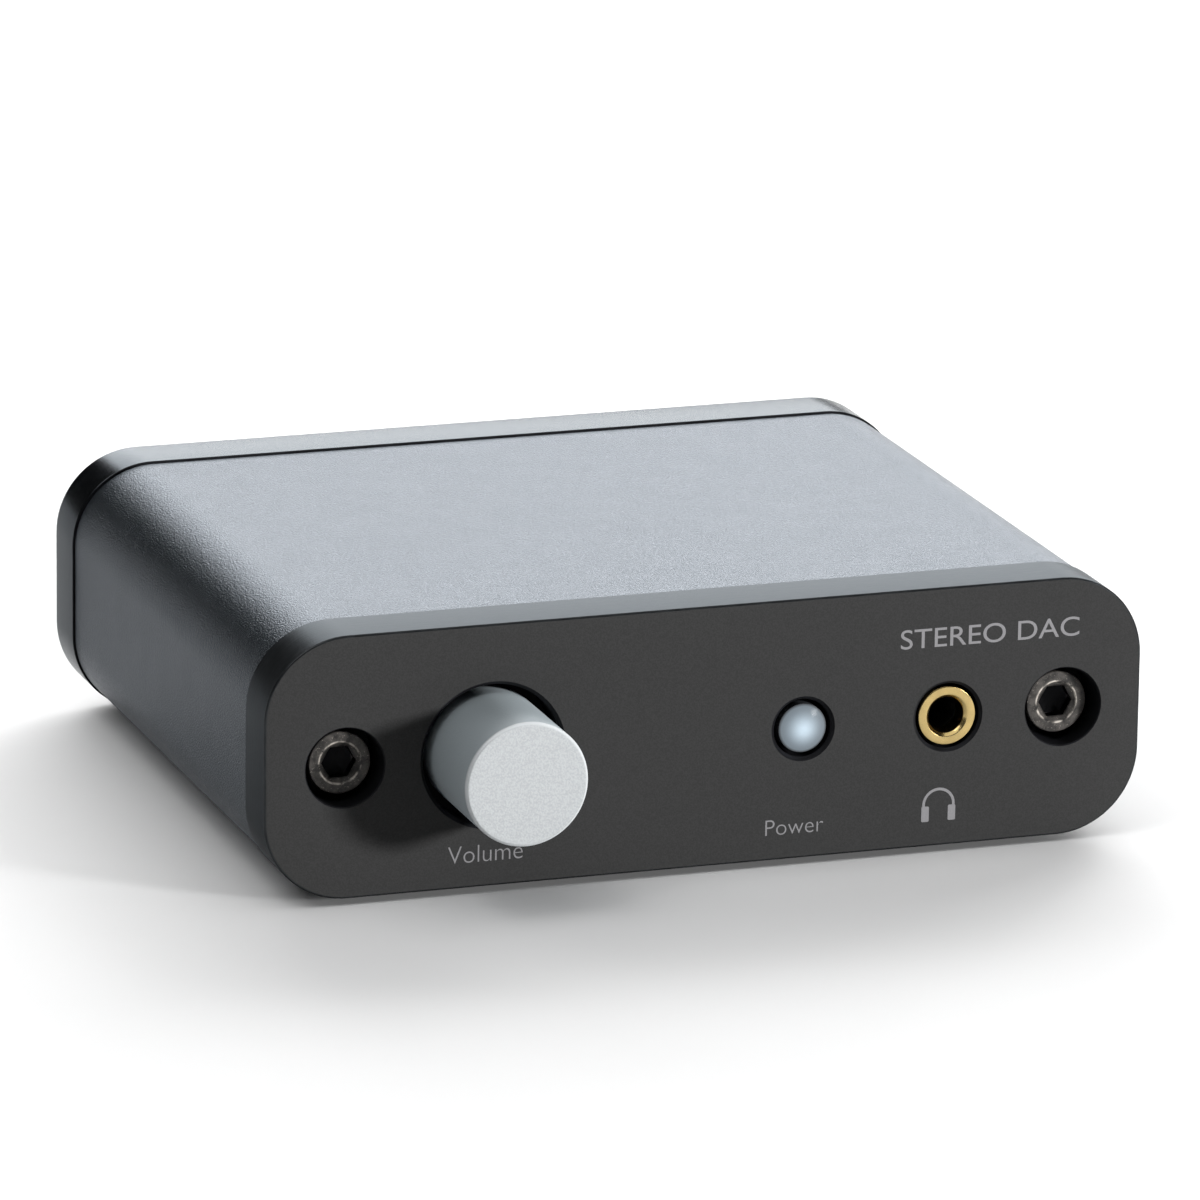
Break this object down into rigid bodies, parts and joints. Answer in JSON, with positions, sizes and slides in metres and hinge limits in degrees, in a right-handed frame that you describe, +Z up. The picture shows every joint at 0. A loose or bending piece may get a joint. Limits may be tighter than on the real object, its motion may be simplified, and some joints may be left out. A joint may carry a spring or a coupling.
{
  "type": "desktop dac",
  "caption": "Flat extruded box with thick end plates, a turning volume knob, a lit power button, a headphone socket in front, and phono, optical and square data sockets behind.",
  "frame": {"origin": "centre of the bounding box's bottom, on the desk between the feet", "axes": "+X to the right seen from the front, +Y from the front plate to the rear plate, +Z up"},
  "size_m": [0.089, 0.0918, 0.0267],
  "materials": {
    "black_anodised": "fine matt black anodised",
    "blasted_anodised": "bead-blasted grey anodised",
    "satin_silver": "satin silver anodised",
    "black_steel": "black oxide",
    "rubber": "matt",
    "white_plastic": "satin",
    "red_plastic": "satin",
    "steel": "nickel plated",
    "brass": "satin",
    "gold": "gold plated",
    "black_plastic": "matt",
    "carbon": "matt",
    "diffuser": "translucent",
    "board_mask": "solder mask",
    "can": "bright"
  },
  "bodies": {
    "chassis": {"capacitor_1": "can", "capacitor_2": "can", "capacitor_3": "can", "capacitor_4": "can", "clock_crystal": "can", "converter_chip": "carbon", "data_receiver_chip": "carbon", "data_socket_contact_1": "gold", "data_socket_contact_2": "gold", "data_socket_contact_3": "gold", "data_socket_contact_4": "gold", "data_socket_shell": "steel", "data_socket_tongue": "white_plastic", "foot_front_left": "rubber", "foot_front_right": "rubber", "foot_rear_left": "rubber", "foot_rear_right": "rubber", "front_panel": "black_anodised", "front_screw_left": "black_steel", "front_screw_right": "black_steel", "headphone_amplifier_chip": "carbon", "headphone_jack_body": "black_plastic", "headphone_jack_bushing": "gold", "headphone_ring_contact": "gold", "headphone_sleeve_contact": "gold", "headphone_tip_contact": "gold", "housing_sleeve": "blasted_anodised", "main_board": "board_mask", "optical_housing": "black_plastic", "optical_sensor": "carbon", "optical_shutter_pin": "steel", "phono_block": "black_plastic", "phono_collar_left": "white_plastic", "phono_collar_right": "red_plastic", "phono_contact_left": "gold", "phono_contact_right": "gold", "phono_insulator_left": "white_plastic", "phono_insulator_right": "red_plastic", "phono_shell_left": "gold", "phono_shell_right": "gold", "pot_bushing": "brass", "pot_housing": "black_plastic", "pot_track": "carbon", "power_led": "diffuser", "rear_panel": "black_anodised", "rear_screw_left": "black_steel", "rear_screw_right": "black_steel", "switch_body": "black_plastic", "switch_spring": "steel", "voltage_regulator": "carbon"},
    "knob": {"volume_knob": "satin_silver", "knob_insert": "white_plastic", "pot_shaft": "steel", "pot_rotor": "white_plastic", "pot_wiper": "brass"},
    "button": {"power_button": "diffuser", "switch_plunger": "white_plastic"},
    "shutter": {"optical_shutter": "black_plastic"}
  },
  "joints": [
    {"name": "volume_turn", "type": "hinge", "parent": "chassis", "child": "knob", "pos_m": [-0.02172, -0.03575, 0.0137], "axis": [0, 1, 0], "range_deg": [-150, 150]},
    {"name": "power_press", "type": "slide", "parent": "chassis", "child": "button", "axis": [0, 1, 0], "range_m": [0, 0.0015], "stiffness_N_per_m": 800},
    {"name": "shutter_swing", "type": "hinge", "parent": "chassis", "child": "shutter", "pos_m": [-0.007, 0.03445, 0.017], "axis": [-1, 0, 0], "range_deg": [0, 80], "stiffness_Nm_per_rad": 0.0004}
  ]
}
